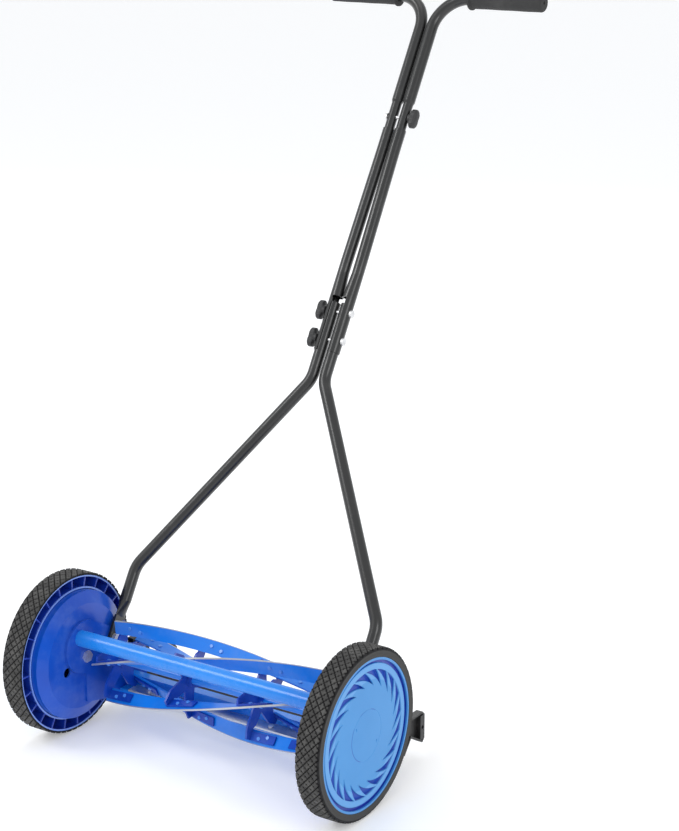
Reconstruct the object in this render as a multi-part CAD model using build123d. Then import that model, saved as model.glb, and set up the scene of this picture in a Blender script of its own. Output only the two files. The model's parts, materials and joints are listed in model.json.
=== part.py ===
"""Push reel mower: two wheels drive a five-blade reel past a fixed knife.

Modelled in millimetres with +Z up and the ground at Z = 0.  While the pieces are made, Y = 0 is
the axle line; the last step slides everything so that the origin is under the middle of the whole.
The user stands on the +Y side, so +X is the left side of the mower.
"""
from build123d import *

import os
from math import acos, cos, degrees, pi, radians, sin, sqrt, tan

os.makedirs("parts", exist_ok=True)

# ---- driving sizes ------------------------------------------------------------------------
wheel_radius = 127.0
overall_width = 573.0
tyre_width = 38.0
handle_angle = 58.54
handle_length = 1118.0

# wheel
tread_thickness = 4.0
sidewall_height = 14.2
sidewall_thickness = 5.2
rim_wall = 2.5
rim_lip_width = 3.5
rim_lip_inset = 0.5
rim_channel_depth = 16.0
rim_rib_count = 24
rim_rib_thickness = 2.0
rim_rib_inset = 1.5
cover_groove = 4.8
cover_recess = 2.5
cover_dome = 1.5
cover_skirt = 1.8
louvre_count = 20
louvre_border = 10.2
louvre_width = 20.0
louvre_base_angle = 12.5
louvre_lean_angle = 17.0
cover_mark_radius = 38.0
web_setback = 4.5
hub_radius = 16.0
hub_bush_wall = 3.0
axle_radius = 8.0

# drive gears
gear_module = 2.0
ring_teeth = 68
pinion_teeth = 14
pressure_angle = radians(20)
gear_backlash = 0.25
ring_addendum = 1.2
pinion_addendum = 1.7
gear_root_clearance = 0.6
ring_wall = 5.0
ring_width = 16.0
pinion_width = 12.0

# side plates
plate_wall = 3.0
plate_cone_width = 18.2
plate_dome = 8.0
plate_rise = 4.5
plate_to_tyre = 17.0
skirt_depth = 12.0
boss_radius = 42.0
boss_shift = 3.0
reel_pad_radius = 30.0
pivot_pad_radius = 15.0
drain_radius = 7.5
drain_y = -41.0
drain_drop = 14.5
ear_height = 76.0
ear_margin = 12.0

# reel
reel_radius = 67.0
reel_direction = radians(-20)
reel_end_gap = 22.0
blade_count = 5
blade_width = 22.0
blade_thickness = 3.0
blade_twist_per_mm = -0.254
blade_phase = 43.4
shaft_radius = 6.0
spider_count = 4
spider_end_gap = 4.9
spider_thickness = 3.0
spider_hub_radius = 17.0
spider_tab_length = 50.0
rivet_steps = (18.0, 35.0)
rivet_radius = 2.0
rivet_head_radius = 3.0

# one-way pawls inside the pinions
pawl_thickness = 3.0
pawl_width = 4.0
pawl_setback = 2.0
ratchet_radius = 9.3
ratchet_notches = 6
clip_thickness = 1.2

# bed knife and bar
knife_direction = radians(67.28)
knife_gap = 0.25
knife_thickness = 3.0
knife_width = 27.0
bar_depth = 16.0
bar_height = 15.0
bar_clearance = 1.0
bar_wall = 2.0
knife_screw_count = 4
knife_screw_setback = 10.5
knife_screw_radius = 2.5
bar_foot = 3.0

# tie bar
tie_radius = 12.7
tie_wall = 1.6
tie_gap = 2.09
tie_rise = 34.0

# rear roller and its height brackets
roller_radius = 22.0
roller_y = 165.0
roller_end_gap = 19.8
roller_wall = 3.0
roller_axle_radius = 4.0
bracket_wall = 3.0
bracket_flange = 8.0
bracket_end = 231.0
bracket_top = 66.0
bracket_bottom = 13.0
bracket_boss_radius = 9.0
tail_bottom = 14.5
tail_rise = 20.0
tail_pad_width = 12.0
tail_hole_radius = 3.0
bracket_bolt_spacing = 22.0
bracket_bolt_rise = 36.5
height_travel_up = 18.0
height_travel_down = 8.0

# handle
tube_radius = 9.5
tube_wall = 1.2
pivot_y = 61.8
pivot_rise = 10.1
handle_plate_thickness = 4.0
handle_plate_radius = 12.5
stop_along = 22.0
stop_radius = 5.0
fork_gap = 1.9
bow_gap = 3.7
shell_wall = 1.4
neck_gap = 1.1
neck_slip = 0.3
neck_show = 45.0
neck_bolt_depth = 24.0
middle_reach = 296.0
upper_length = 187.0
clamp_setback = 14.0
clamp_spacing = 46.0
grip_wall = 5.5
grip_flange_height = 2.5
grip_flange_width = 4.0
grip_length = 131.0
grip_end_wall = 6.0
top_bend_radius = 55.0
bolt_radius = 3.0

# fits
running_fit = 0.05
slip = 0.3
wheel_clearance = 1.0

# ---- places worked out from the sizes -----------------------------------------------------
fork_offset = tube_radius + fork_gap
neck_radius = tube_radius - tube_wall - neck_slip
neck_offset = tube_radius + neck_gap
grip_radius = tube_radius + grip_wall
grip_flange_radius = grip_radius + grip_flange_height

axle_z = wheel_radius
face_x = overall_width / 2
wheel_inner_x = face_x - tyre_width
rim_inner_x = wheel_inner_x + 1.0
rim_outer_r = wheel_radius - tread_thickness
rim_face_x = face_x - sidewall_thickness
lip_outer_r = wheel_radius - sidewall_height - slip
cover_r = lip_outer_r - rim_lip_width - cover_groove
louvre_outer = cover_r - louvre_border
louvre_inner = louvre_outer - louvre_width
ring_wall_r = cover_r - 2.0
rim_web_outer_x = rim_face_x - web_setback
rim_web_inner_x = rim_web_outer_x - plate_wall

plate_floor_x = wheel_inner_x - plate_to_tyre
plate_face_x = plate_floor_x - plate_rise
plate_outer_r = ring_wall_r - wheel_clearance
plate_floor_radius = plate_outer_r - plate_cone_width
plate_rim_x = plate_floor_x + plate_dome
plate_inside_x = plate_floor_x + plate_wall

gear_distance = gear_module * (ring_teeth - pinion_teeth) / 2
reel_y = gear_distance * cos(reel_direction)
reel_z = axle_z + gear_distance * sin(reel_direction)
ring_inner_x = rim_web_inner_x - ring_width
pinion_inner_x = ring_inner_x - 1.0
pinion_outer_x = pinion_inner_x + pinion_width
shaft_end_x = pinion_outer_x + clip_thickness + 1.6
reel_length = 2 * (plate_face_x - reel_end_gap)
spider_spacing = (reel_length - 2 * spider_end_gap) / (spider_count - 1)

tie_z = axle_z + tie_rise
tie_y = reel_y - sqrt((reel_radius + tie_radius + tie_gap) ** 2 - (tie_z - reel_z) ** 2)
pivot_z = axle_z + pivot_rise

knife_y = reel_y + (reel_radius + knife_gap) * cos(knife_direction)
knife_height = reel_z - (reel_radius + knife_gap) * sin(knife_direction)
bar_top = knife_height + bar_height
bar_y = reel_y + sqrt((reel_radius + bar_clearance) ** 2 - (reel_z - bar_top) ** 2)
ear_x = plate_floor_x - plate_wall
ear_bottom = knife_height - knife_thickness - ear_margin

bracket_x = plate_floor_x + slip
bracket_front = max(bar_y + bar_depth, plate_outer_r) + 3.0
bracket_bolt_y = bracket_front + 14.0
ear_end = bracket_bolt_y + 14.0
bracket_bolt_z = ear_bottom + bracket_bolt_rise
bracket_neck_top = bracket_bolt_z + bracket_bolt_spacing + 23.0
roller_z = roller_radius
roller_length = 2 * (bracket_x - roller_end_gap)

plate_mid_x = plate_face_x - 1.0 - handle_plate_thickness / 2
shoulder = handle_length - upper_length
mouth = shoulder - neck_show
neck_bolt = shoulder - neck_bolt_depth
lower_top = mouth - middle_reach
clamp_high = lower_top - clamp_setback
clamp_low = clamp_high - clamp_spacing

handle_plane = Plane(
    origin=(0, pivot_y, pivot_z),
    x_dir=(1, 0, 0),
    z_dir=(0, -sin(radians(handle_angle)), cos(radians(handle_angle))),
)
grip_y = pivot_y + handle_length * cos(radians(handle_angle))
y_middle = (grip_y + grip_flange_radius - wheel_radius) / 2

from_low_end = (Align.CENTER, Align.CENTER, Align.MIN)
nodes = {}


# ---- shape helpers ------------------------------------------------------------------------
def rod_x(radius, x_from, x_to, y=0.0, z=0.0):
    """Round bar along X."""
    return Pos(x_from, y, z) * Rot(0, 90, 0) * Cylinder(radius, x_to - x_from, align=from_low_end)


def ring_x(inner, outer, x_from, x_to, y=0.0, z=0.0):
    """Round tube along X."""
    return rod_x(outer, x_from, x_to, y, z) - rod_x(inner, x_from, x_to, y, z)


def hex_x(across, x_from, x_to, y=0.0, z=0.0):
    """Hexagon bar along X, by its size across flats."""
    outline = RegularPolygon(across / 2, 6, major_radius=False)
    return plate_x(Pos(y, z) * outline, x_from, x_to)


def plate_x(outline, x_from, x_to):
    """Flat outline in (y, z), thickened along X."""
    return extrude(Plane.YZ.offset(x_from) * outline, x_to - x_from, dir=(1, 0, 0))


def turned_x(points):
    """Solid turned about the X axis from (x, radius) points."""
    return revolve(Polygon(*points, align=None), Axis.X)


def on_axle(shape):
    """Moves a shape made about the X axis up to the axle line."""
    return Pos(0, 0, axle_z) * shape


def to_side(shape, side):
    """Keeps a left-hand shape, or mirrors it to the right-hand side."""
    return shape if side == "left" else mirror(shape, about=Plane.YZ)


def handle_point(along, off):
    """Point (y, z) at a distance along the handle's tubes and off their plane."""
    lean = radians(handle_angle)
    across = pivot_y + along * cos(lean) - off * sin(lean)
    return (across, pivot_z + along * sin(lean) + off * cos(lean))


def at_polar(radius, angle):
    """Point (y, z) at a radius and an angle in degrees from +Y towards +Z."""
    return (radius * cos(radians(angle)), radius * sin(radians(angle)))


def twisted_bar(u_from, u_to, v_from, v_to, x_from, x_to, angle_at_middle):
    """Bar that follows the blades' helix: u is radial and v tangential from the blade's plane."""
    length = x_to - x_from
    start_angle = angle_at_middle + blade_twist_per_mm * x_from
    outline = Polygon((u_from, v_from), (u_to, v_from), (u_to, v_to), (u_from, v_to), align=None)
    section = Plane.YZ.offset(x_from) * Rot(0, 0, start_angle) * outline
    bar = Solid.extrude_linear_with_rotation(
        section.face(), center=(x_from, 0, 0), normal=(length, 0, 0), angle=blade_twist_per_mm * length
    )
    return Pos(0, reel_y, reel_z) * bar


def gear_outline(teeth, addendum, dedendum, thickening):
    """Involute teeth, with one tooth centred on the first axis."""
    pitch_r = gear_module * teeth / 2
    base_r = pitch_r * cos(pressure_angle)
    low_r = pitch_r - dedendum
    high_r = pitch_r + addendum
    half_tooth = pi / (2 * teeth) + thickening / (2 * pitch_r) + tan(pressure_angle) - pressure_angle
    first_r = max(low_r, base_r)
    steps = 5
    radii = [first_r + (high_r - first_r) * step / steps for step in range(steps + 1)]
    flank = []
    for radius in radii:
        roll = acos(min(1.0, base_r / radius))
        flank.append((radius, half_tooth - tan(roll) + roll))
    if low_r < first_r:
        flank.insert(0, (low_r, flank[0][1]))
    points = []
    for tooth in range(teeth):
        middle = 2 * pi * tooth / teeth
        points += [(r * cos(middle - a), r * sin(middle - a)) for r, a in flank]
        points += [(r * cos(middle + a), r * sin(middle + a)) for r, a in reversed(flank)]
    return Polygon(*points, align=None)


# ---- wheels -------------------------------------------------------------------------------
def make_tyre():
    shoulder_r = 5.0
    profile = Polygon(
        (rim_face_x, lip_outer_r + slip),
        (face_x, lip_outer_r + slip),
        (face_x, wheel_radius),
        (wheel_inner_x, wheel_radius),
        (wheel_inner_x, rim_outer_r),
        (rim_face_x, rim_outer_r),
        align=None,
    )
    crown = profile.vertices().filter_by(lambda v: v.Y > wheel_radius - 0.1)
    outer = [v for v in crown if v.X > rim_face_x]
    inner = [v for v in crown if v.X < rim_face_x]
    profile = fillet(outer, shoulder_r)
    corner = [v for v in profile.vertices() if abs(v.X - inner[0].X) < 0.1 and v.Y > wheel_radius - 0.1]
    profile = fillet(corner, tread_thickness * 0.6)
    return revolve(profile, Axis.X)


def make_wheel():
    channel_r = rim_outer_r - rim_wall
    face_inner_x = rim_face_x - rim_wall
    ring_wall_outer = ring_wall_r + rim_wall
    gear_r = gear_module * ring_teeth / 2
    gear_outer = gear_r + pinion_addendum + gear_root_clearance + ring_wall
    body = ring_x(channel_r, rim_outer_r, rim_inner_x, rim_face_x)
    body += ring_x(ring_wall_r, rim_outer_r, face_inner_x, rim_face_x)
    body += ring_x(lip_outer_r - rim_lip_width, lip_outer_r, face_inner_x, face_x - rim_lip_inset)
    body += ring_x(ring_wall_r, ring_wall_outer, rim_inner_x, rim_face_x)
    body += ring_x(hub_radius - 1, ring_wall_outer - 0.5, rim_web_inner_x, rim_web_outer_x)
    hub_hole = axle_radius + hub_bush_wall
    body += ring_x(hub_hole, hub_radius, ring_inner_x - 1.5, rim_web_outer_x)
    for rib in range(rim_rib_count):
        slab_y = (ring_wall_outer + channel_r) / 2
        slab = Box(face_inner_x - rim_inner_x, rim_channel_depth + 1, rim_rib_thickness)
        slab = Pos((rim_inner_x + rim_rib_inset + face_inner_x) / 2, slab_y, 0) * slab
        body += Rot(360 * rib / rim_rib_count, 0, 0) * slab
    spoke_count = 8
    for spoke in range(spoke_count):
        reach = ring_wall_r - gear_outer + 1
        slab = Box(ring_width / 2, reach, rim_rib_thickness)
        slab = Pos(rim_web_inner_x - ring_width / 4, (ring_wall_r + gear_outer) / 2, 0) * slab
        body += Rot(360 * spoke / spoke_count, 0, 0) * slab
    space = gear_outline(ring_teeth, pinion_addendum + gear_root_clearance, ring_addendum, gear_backlash)
    gear = rod_x(gear_outer, ring_inner_x, rim_web_inner_x + 0.1)
    gear -= plate_x(space, ring_inner_x - 1, rim_web_inner_x)
    gear -= rod_x(hub_radius - 1, ring_inner_x - 1, rim_web_outer_x)
    return body + gear


def make_hub_cover():
    outer_x = rim_face_x + cover_recess
    inner_x = rim_face_x
    edge = 0.8
    cover = turned_x([
        (inner_x, 0),
        (inner_x, ring_wall_r - cover_skirt),
        (rim_web_outer_x, ring_wall_r - cover_skirt),
        (rim_web_outer_x, ring_wall_r - 0.1),
        (inner_x, ring_wall_r - 0.1),
        (inner_x, cover_r),
        (outer_x - edge, cover_r),
        (outer_x, cover_r - edge),
        (outer_x, louvre_outer + 1),
        (outer_x - edge, louvre_outer),
        (outer_x - edge, louvre_inner),
        (outer_x, louvre_inner - 1),
        (outer_x + cover_dome, 0),
    ])
    slot_outline = Polygon(
        at_polar(louvre_outer - 1, 0),
        at_polar(louvre_outer - 1, -louvre_base_angle),
        at_polar((louvre_inner + louvre_outer) / 2, -louvre_base_angle - louvre_lean_angle * 0.6),
        at_polar(louvre_inner + 1, -louvre_base_angle - louvre_lean_angle),
        at_polar((louvre_inner + louvre_outer) / 2, -louvre_lean_angle * 0.8),
        align=None,
    )
    slot = plate_x(slot_outline, inner_x - 1, outer_x + cover_dome)
    for louvre in range(louvre_count):
        cover -= Rot(360 * louvre / louvre_count, 0, 0) * slot
    mark_depth = 0.4
    mark_x = outer_x + cover_dome * (1 - cover_mark_radius / louvre_inner) - mark_depth
    cover -= ring_x(cover_mark_radius, cover_mark_radius + 1, mark_x, outer_x + cover_dome + 1)
    return cover


def make_hub_bush():
    bore = axle_radius + running_fit
    return ring_x(bore, axle_radius + hub_bush_wall, ring_inner_x - 1.5, rim_web_outer_x)


def make_axle_bolt():
    """Stub axle: head against the side plate, shank through it and the wheel, groove for the clip."""
    head_height = 5.0
    end_x = rim_web_outer_x + 2.8
    bolt = hex_x(16, plate_face_x - head_height, plate_face_x)
    bolt += rod_x(axle_radius, plate_face_x, end_x)
    groove_x = rim_web_outer_x + 0.5
    return bolt - ring_x(axle_radius - 1.5, axle_radius + 1, groove_x, groove_x + clip_thickness)


def make_axle_clip():
    groove_x = rim_web_outer_x + 0.5
    clip = ring_x(axle_radius - 1.5, axle_radius + 4, groove_x, groove_x + clip_thickness)
    mouth_box = Pos(groove_x + clip_thickness / 2, 0, -axle_radius) * Box(3, axle_radius, 2 * axle_radius)
    return clip - mouth_box


# ---- side plates --------------------------------------------------------------------------
def platform_outline():
    """Raised platform that ties the tie bar, axle, reel bearing and handle pivot together."""
    circles = Pos(tie_y / 2 + boss_shift, axle_z + tie_rise / 2) * Circle(boss_radius)
    circles += Pos(reel_y, reel_z) * Circle(reel_pad_radius)
    circles += Pos(pivot_y, pivot_z) * Circle(pivot_pad_radius)
    return make_hull(circles.edges())


def ear_outline():
    """Flat ear behind the dish that carries the bed bar and the roller bracket."""
    return Polygon(
        (0, axle_z - plate_floor_radius + 6),
        (knife_y - 4, ear_bottom),
        (ear_end, ear_bottom),
        (ear_end, ear_bottom + ear_height),
        (bracket_front - 2, ear_bottom + ear_height),
        (reel_y + 15, axle_z),
        (0, axle_z),
        align=None,
    )


bracket_bolts = [
    (bracket_bolt_y, bracket_bolt_z),
    (bracket_bolt_y, bracket_bolt_z + bracket_bolt_spacing),
]
bar_bolts = [(bar_y + bar_depth / 2, knife_height + bar_height / 2)]


def make_side_plate():
    cone_wall = plate_wall * 1.1
    dish = turned_x([
        (plate_floor_x, 0),
        (plate_floor_x, plate_floor_radius),
        (plate_rim_x, plate_outer_r),
        (plate_rim_x + skirt_depth, plate_outer_r),
        (plate_rim_x + skirt_depth, plate_outer_r - plate_wall),
        (plate_rim_x + cone_wall, plate_outer_r - plate_wall),
        (plate_inside_x, plate_floor_radius - 1),
        (plate_inside_x, 0),
    ])
    plate = on_axle(dish)
    plate += plate_x(platform_outline(), plate_face_x, plate_inside_x)
    plate += plate_x(ear_outline(), ear_x, plate_floor_x)
    axle_boss_end = ring_inner_x - 2.0
    plate += rod_x(axle_radius + 7, plate_floor_x, axle_boss_end, 0, axle_z)
    plate += rod_x(shaft_radius + 10, plate_floor_x, pinion_inner_x - 6, reel_y, reel_z)
    plate += rod_x(10, plate_floor_x, plate_inside_x + 4, tie_y, tie_z)
    plate += rod_x(handle_plate_radius - 1.5, plate_face_x - 0.7, plate_face_x, pivot_y, pivot_z)
    stop_y, stop_z = handle_point(stop_along, -(handle_plate_radius + slip + stop_radius))
    plate += rod_x(stop_radius, plate_mid_x - 3, plate_rim_x, stop_y, stop_z)
    plate -= rod_x(axle_radius, ear_x - 10, axle_boss_end + 1, 0, axle_z)
    plate -= rod_x(shaft_radius + 4, ear_x - 10, face_x, reel_y, reel_z)
    plate -= rod_x(4, ear_x - 10, plate_inside_x + 5, tie_y, tie_z)
    plate -= rod_x(5, ear_x - 10, plate_inside_x + 5, pivot_y, pivot_z)
    plate -= rod_x(drain_radius, ear_x - 10, plate_inside_x + 1, drain_y, axle_z - drain_drop)
    for bolt_y, bolt_z in bracket_bolts + bar_bolts:
        plate -= rod_x(4, ear_x - 1, plate_floor_x + 1, bolt_y, bolt_z)
    return plate


def make_reel_bearing():
    """Flanged plain bearing pressed into the side plate."""
    bore = shaft_radius + running_fit
    sleeve = ring_x(bore, shaft_radius + 4, plate_face_x, pinion_inner_x - 6, reel_y, reel_z)
    return sleeve + ring_x(bore, shaft_radius + 7, plate_face_x - 2, plate_face_x, reel_y, reel_z)


# ---- frame bars ---------------------------------------------------------------------------
def make_tie_bar():
    bar = ring_x(tie_radius - tie_wall, tie_radius, -plate_face_x, plate_face_x, tie_y, tie_z)
    plug_length = 22.0
    for start in (-plate_face_x, plate_face_x - plug_length):
        bar += ring_x(4, tie_radius - tie_wall + 0.1, start, start + plug_length, tie_y, tie_z)
    return bar


def make_tie_bar_bolt():
    head_x = plate_inside_x + 4
    bolt = hex_x(13, head_x, head_x + 5.5, tie_y, tie_z)
    return bolt + rod_x(4, plate_face_x - 20, head_x, tie_y, tie_z)


def make_bed_bar():
    foot_bottom = knife_height - knife_thickness - bar_foot
    slot_top = knife_height + 0.1
    slot_bottom = knife_height - knife_thickness - 0.1
    slot_end = knife_y + knife_width + 0.1
    section = Polygon(
        (knife_y + 3, foot_bottom),
        (bar_y + bar_depth, foot_bottom),
        (bar_y + bar_depth, bar_top),
        (bar_y, bar_top),
        (bar_y, slot_top),
        (slot_end, slot_top),
        (slot_end, slot_bottom),
        (knife_y + 3, slot_bottom),
        align=None,
    )
    bar = plate_x(section, -ear_x, ear_x)
    hollow_end = ear_x - 14
    hollow = Box(2 * hollow_end, bar_depth - 2 * bar_wall, bar_height - 2 * bar_wall)
    bar -= Pos(0, bar_y + bar_depth / 2, knife_height + bar_height / 2) * hollow
    for bolt_y, bolt_z in bar_bolts:
        bar -= rod_x(4, -ear_x - 1, -hollow_end + 1, bolt_y, bolt_z)
        bar -= rod_x(4, hollow_end - 1, ear_x + 1, bolt_y, bolt_z)
    for screw_x in knife_screw_places():
        hole = Cylinder(knife_screw_radius, 2 * bar_foot, align=from_low_end)
        bar -= Pos(screw_x, knife_y + knife_screw_setback, foot_bottom - 1) * hole
    return bar


def knife_screw_places():
    spacing = (reel_length - 60) / (knife_screw_count - 1)
    return [spacing * (place - (knife_screw_count - 1) / 2) for place in range(knife_screw_count)]


def make_bed_knife():
    knife = Box(reel_length + 10, knife_width, knife_thickness, align=(Align.CENTER, Align.MIN, Align.MAX))
    knife = Pos(0, knife_y, knife_height) * knife
    for screw_x in knife_screw_places():
        hole = Cylinder(knife_screw_radius, 2 * knife_height, align=from_low_end)
        knife -= Pos(screw_x, knife_y + knife_screw_setback, 0) * hole
    return knife


def make_knife_screws():
    head_height = 2.6
    nut_height = 4.0
    foot_bottom = knife_height - knife_thickness - bar_foot
    shank_length = knife_height - foot_bottom + nut_height + 1
    screws = []
    for screw_x in knife_screw_places():
        place = Pos(screw_x, knife_y + knife_screw_setback, 0)
        shank = Cylinder(knife_screw_radius, shank_length, align=from_low_end)
        shank = Pos(0, 0, knife_height - shank_length) * shank
        head = Pos(0, 0, knife_height) * Cylinder(4.4, head_height, align=from_low_end)
        nut_outline = RegularPolygon(4, 6, major_radius=False)
        nut = extrude(Plane.XY.offset(foot_bottom - nut_height) * nut_outline, nut_height)
        screws.append(place * (shank + head + nut))
    return Compound(children=screws)


def make_bar_bolt():
    (bolt_y, bolt_z), = bar_bolts
    bolt = hex_x(12, plate_floor_x, plate_floor_x + 5, bolt_y, bolt_z)
    return bolt + rod_x(4, ear_x - 13, plate_floor_x, bolt_y, bolt_z)


# ---- reel ---------------------------------------------------------------------------------
def spider_places():
    return [spider_spacing * (place - (spider_count - 1) / 2) for place in range(spider_count)]


def tab_direction(place_x):
    """The tabs point to the left, except on the last spider, where the blades end."""
    return 1 if place_x + spider_tab_length < reel_length / 2 else -1


def make_reel_shaft():
    shaft = rod_x(shaft_radius, -shaft_end_x, shaft_end_x, reel_y, reel_z)
    for end in (-1, 1):
        near = min(end * pinion_outer_x, end * (pinion_outer_x + clip_thickness))
        shaft -= ring_x(shaft_radius - 1.2, shaft_radius + 1, near, near + clip_thickness, reel_y, reel_z)
        slot_x = end * (pinion_inner_x + pawl_setback + pawl_thickness / 2)
        slot = Box(pawl_thickness + 0.2, 2 * shaft_radius + 2, pawl_width + 0.2)
        shaft -= Pos(slot_x, reel_y, reel_z) * slot
    return shaft


def make_blade(number):
    angle = blade_phase + 360 * number / blade_count
    half = blade_thickness / 2
    end_x = reel_length / 2
    return twisted_bar(reel_radius - blade_width, reel_radius, -half, half, -end_x, end_x, angle)


def make_spider(place_x):
    half = spider_thickness / 2
    blade_face = blade_thickness / 2 + slip
    turn_across = abs(radians(blade_twist_per_mm * half)) * reel_radius
    side = blade_face + turn_across
    blade_foot = reel_radius - blade_width - 1.5
    tip = reel_radius - 5
    outline = Circle(spider_hub_radius)
    arm = Polygon(
        (0, -13), (0, 12), (blade_foot - 5, 3), (blade_foot, -side), (tip, -side),
        (tip, -side - 11), (blade_foot, -side - 17), align=None,
    )
    for number in range(blade_count):
        angle = blade_phase + 360 * number / blade_count + blade_twist_per_mm * place_x
        outline += Rot(0, 0, angle) * arm
    outline -= Circle(shaft_radius)
    spider = Pos(0, reel_y, reel_z) * plate_x(outline, place_x - half, place_x + half)
    spider += ring_x(shaft_radius, spider_hub_radius - 7, place_x - 8, place_x + 8, reel_y, reel_z)
    toward = tab_direction(place_x)
    for number in range(blade_count):
        angle = blade_phase + 360 * number / blade_count
        ends = sorted((place_x + toward * half * 0.5, place_x + toward * (half + spider_tab_length)))
        spider += twisted_bar(
            blade_foot + 5, tip, -blade_face - spider_thickness, -blade_face, ends[0], ends[1], angle
        )
    return spider


def make_blade_rivets():
    """Round-head rivets through each spider tab and its blade."""
    grip = blade_thickness + slip + spider_thickness
    rivets = []
    for place_x in spider_places():
        toward = tab_direction(place_x)
        for number in range(blade_count):
            for step, radius in zip(rivet_steps, (reel_radius - 10, reel_radius - 14)):
                rivet_x = place_x + toward * (spider_thickness / 2 + step)
                angle = blade_phase + 360 * number / blade_count + blade_twist_per_mm * rivet_x
                shank = Cylinder(rivet_radius, grip + 2)
                ball = Sphere(rivet_head_radius)
                heads = Pos(0, 0, grip / 2) * ball + Pos(0, 0, -grip / 2) * ball
                keep = Cylinder(rivet_head_radius, grip + rivet_head_radius)
                heads = (heads - Cylinder(rivet_head_radius + 0.1, grip)) & keep
                middle = -(blade_thickness / 2 + slip + spider_thickness) + grip / 2
                rivet = Pos(rivet_x, radius, middle) * (shank + heads)
                rivets.append(Pos(0, reel_y, reel_z) * Rot(angle, 0, 0) * rivet)
    return Compound(children=rivets)


# ---- pinions with their one-way pawls -----------------------------------------------------
def make_pinion():
    step = 360 / ring_teeth
    direction = degrees(reel_direction)
    space_offset = round(direction / step) * step - direction
    tooth_angle = direction + space_offset * ring_teeth / pinion_teeth
    teeth = gear_outline(pinion_teeth, pinion_addendum, ring_addendum + gear_root_clearance, -gear_backlash)
    pinion = plate_x(Rot(0, 0, tooth_angle) * teeth, pinion_inner_x, pinion_outer_x)
    pinion -= rod_x(shaft_radius + running_fit, pinion_inner_x - 1, pinion_outer_x + 1)
    pocket_end = pinion_inner_x + pawl_setback + pawl_thickness + 0.5
    pocket = Circle(ratchet_radius - 1)
    for notch in range(ratchet_notches):
        pocket += Rot(0, 0, 360 * notch / ratchet_notches) * (Pos(ratchet_radius - 1.5, 0) * Circle(1.5))
    pinion -= plate_x(pocket, pinion_inner_x + pawl_setback - 0.5, pocket_end)
    return Pos(0, reel_y, reel_z) * pinion


def make_pawls():
    """Flat pawls that slide in the shaft's cross slots, shown drawn in."""
    pawls = []
    for end in (-1, 1):
        slot_x = end * (pinion_inner_x + pawl_setback + pawl_thickness / 2)
        pawl = Box(pawl_thickness, 2 * (ratchet_radius - 1.8), pawl_width)
        pawls.append(Pos(slot_x, reel_y, reel_z) * pawl)
    return Compound(children=pawls)


def make_pinion_clip():
    outer_x = pinion_outer_x + clip_thickness
    clip = ring_x(shaft_radius - 1.2, shaft_radius + 3, pinion_outer_x, outer_x, reel_y, reel_z)
    mouth_box = Box(3, shaft_radius, 2 * shaft_radius)
    return clip - Pos(pinion_outer_x + clip_thickness / 2, reel_y, reel_z - shaft_radius) * mouth_box


# ---- rear roller --------------------------------------------------------------------------
def make_bracket():
    corner = 6.0
    half_boss = bracket_boss_radius
    outline = Polygon(
        (bracket_front, bracket_bolt_z - 29),
        (bracket_front, bracket_neck_top),
        (ear_end, bracket_neck_top),
        (ear_end + 20, bracket_top),
        (bracket_end - corner, bracket_top),
        (bracket_end, bracket_top - corner),
        (bracket_end, tail_bottom + corner),
        (bracket_end - corner, tail_bottom),
        (roller_y + 3 * half_boss, tail_bottom + tail_rise),
        (roller_y + half_boss, bracket_bottom),
        (roller_y - half_boss, bracket_bottom),
        align=None,
    )
    web = plate_x(outline, bracket_x, bracket_x + bracket_wall)
    outer = plate_x(outline, bracket_x, bracket_x + bracket_flange + bracket_wall)
    inner = plate_x(offset(outline, -bracket_wall, kind=Kind.INTERSECTION), bracket_x, face_x)
    bracket = web + (outer - inner)
    bracket += rod_x(half_boss, bracket_x, bracket_x + 8, roller_y, roller_z)
    pad_height = bracket_top - tail_bottom - 2 * corner
    pad = Box(bracket_flange + bracket_wall, tail_pad_width, pad_height)
    pad_x = bracket_x + (bracket_flange + bracket_wall) / 2
    pad_y = bracket_end - tail_pad_width / 2
    pad_z = (bracket_top + tail_bottom) / 2
    bracket += Pos(pad_x, pad_y, pad_z) * pad
    bracket -= rod_x(tail_hole_radius, bracket_x - 1, face_x, pad_y, pad_z)
    slot_length = height_travel_up + height_travel_down + 8
    slot_rise = (height_travel_down - height_travel_up) / 2
    for bolt_y, bolt_z in bracket_bolts:
        slot = Rot(0, 0, 90) * SlotOverall(slot_length + 1, 8 + 2 * slip)
        outline = Pos(bolt_y, bolt_z + slot_rise) * slot
        bracket -= plate_x(outline, bracket_x - 1, bracket_x + bracket_wall + 1)
    return bracket - rod_x(roller_axle_radius, bracket_x - 1, face_x, roller_y, roller_z)


def make_bracket_bolts():
    bolts = []
    for bolt_y, bolt_z in bracket_bolts:
        clamp_x = bracket_x + bracket_wall + slip
        bolt = rod_x(4, ear_x, clamp_x + 5, bolt_y, bolt_z)
        bolt += rod_x(7, ear_x - 3, ear_x, bolt_y, bolt_z)
        bolt += hex_x(13, clamp_x, clamp_x + 5, bolt_y, bolt_z)
        bolts.append(bolt)
    return Compound(children=bolts)


def make_roller():
    half = roller_length / 2
    roller = ring_x(roller_radius - roller_wall, roller_radius, -half, half, roller_y, roller_z)
    for start in (-half, half - 10):
        roller += ring_x(8, roller_radius - roller_wall + 0.1, start, start + 10, roller_y, roller_z)
    return roller


def make_roller_bush():
    half = roller_length / 2
    return ring_x(roller_axle_radius + running_fit, 8, half - 10, half, roller_y, roller_z)


def make_roller_spacer():
    return ring_x(roller_axle_radius, 7, roller_length / 2 + slip, bracket_x, roller_y, roller_z)


def make_roller_axle():
    end_x = bracket_x + 8
    axle = rod_x(roller_axle_radius, -end_x, end_x, roller_y, roller_z)
    for start in (-end_x - 4, end_x):
        axle += hex_x(12, start, start + 4, roller_y, roller_z)
    return axle


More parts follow.
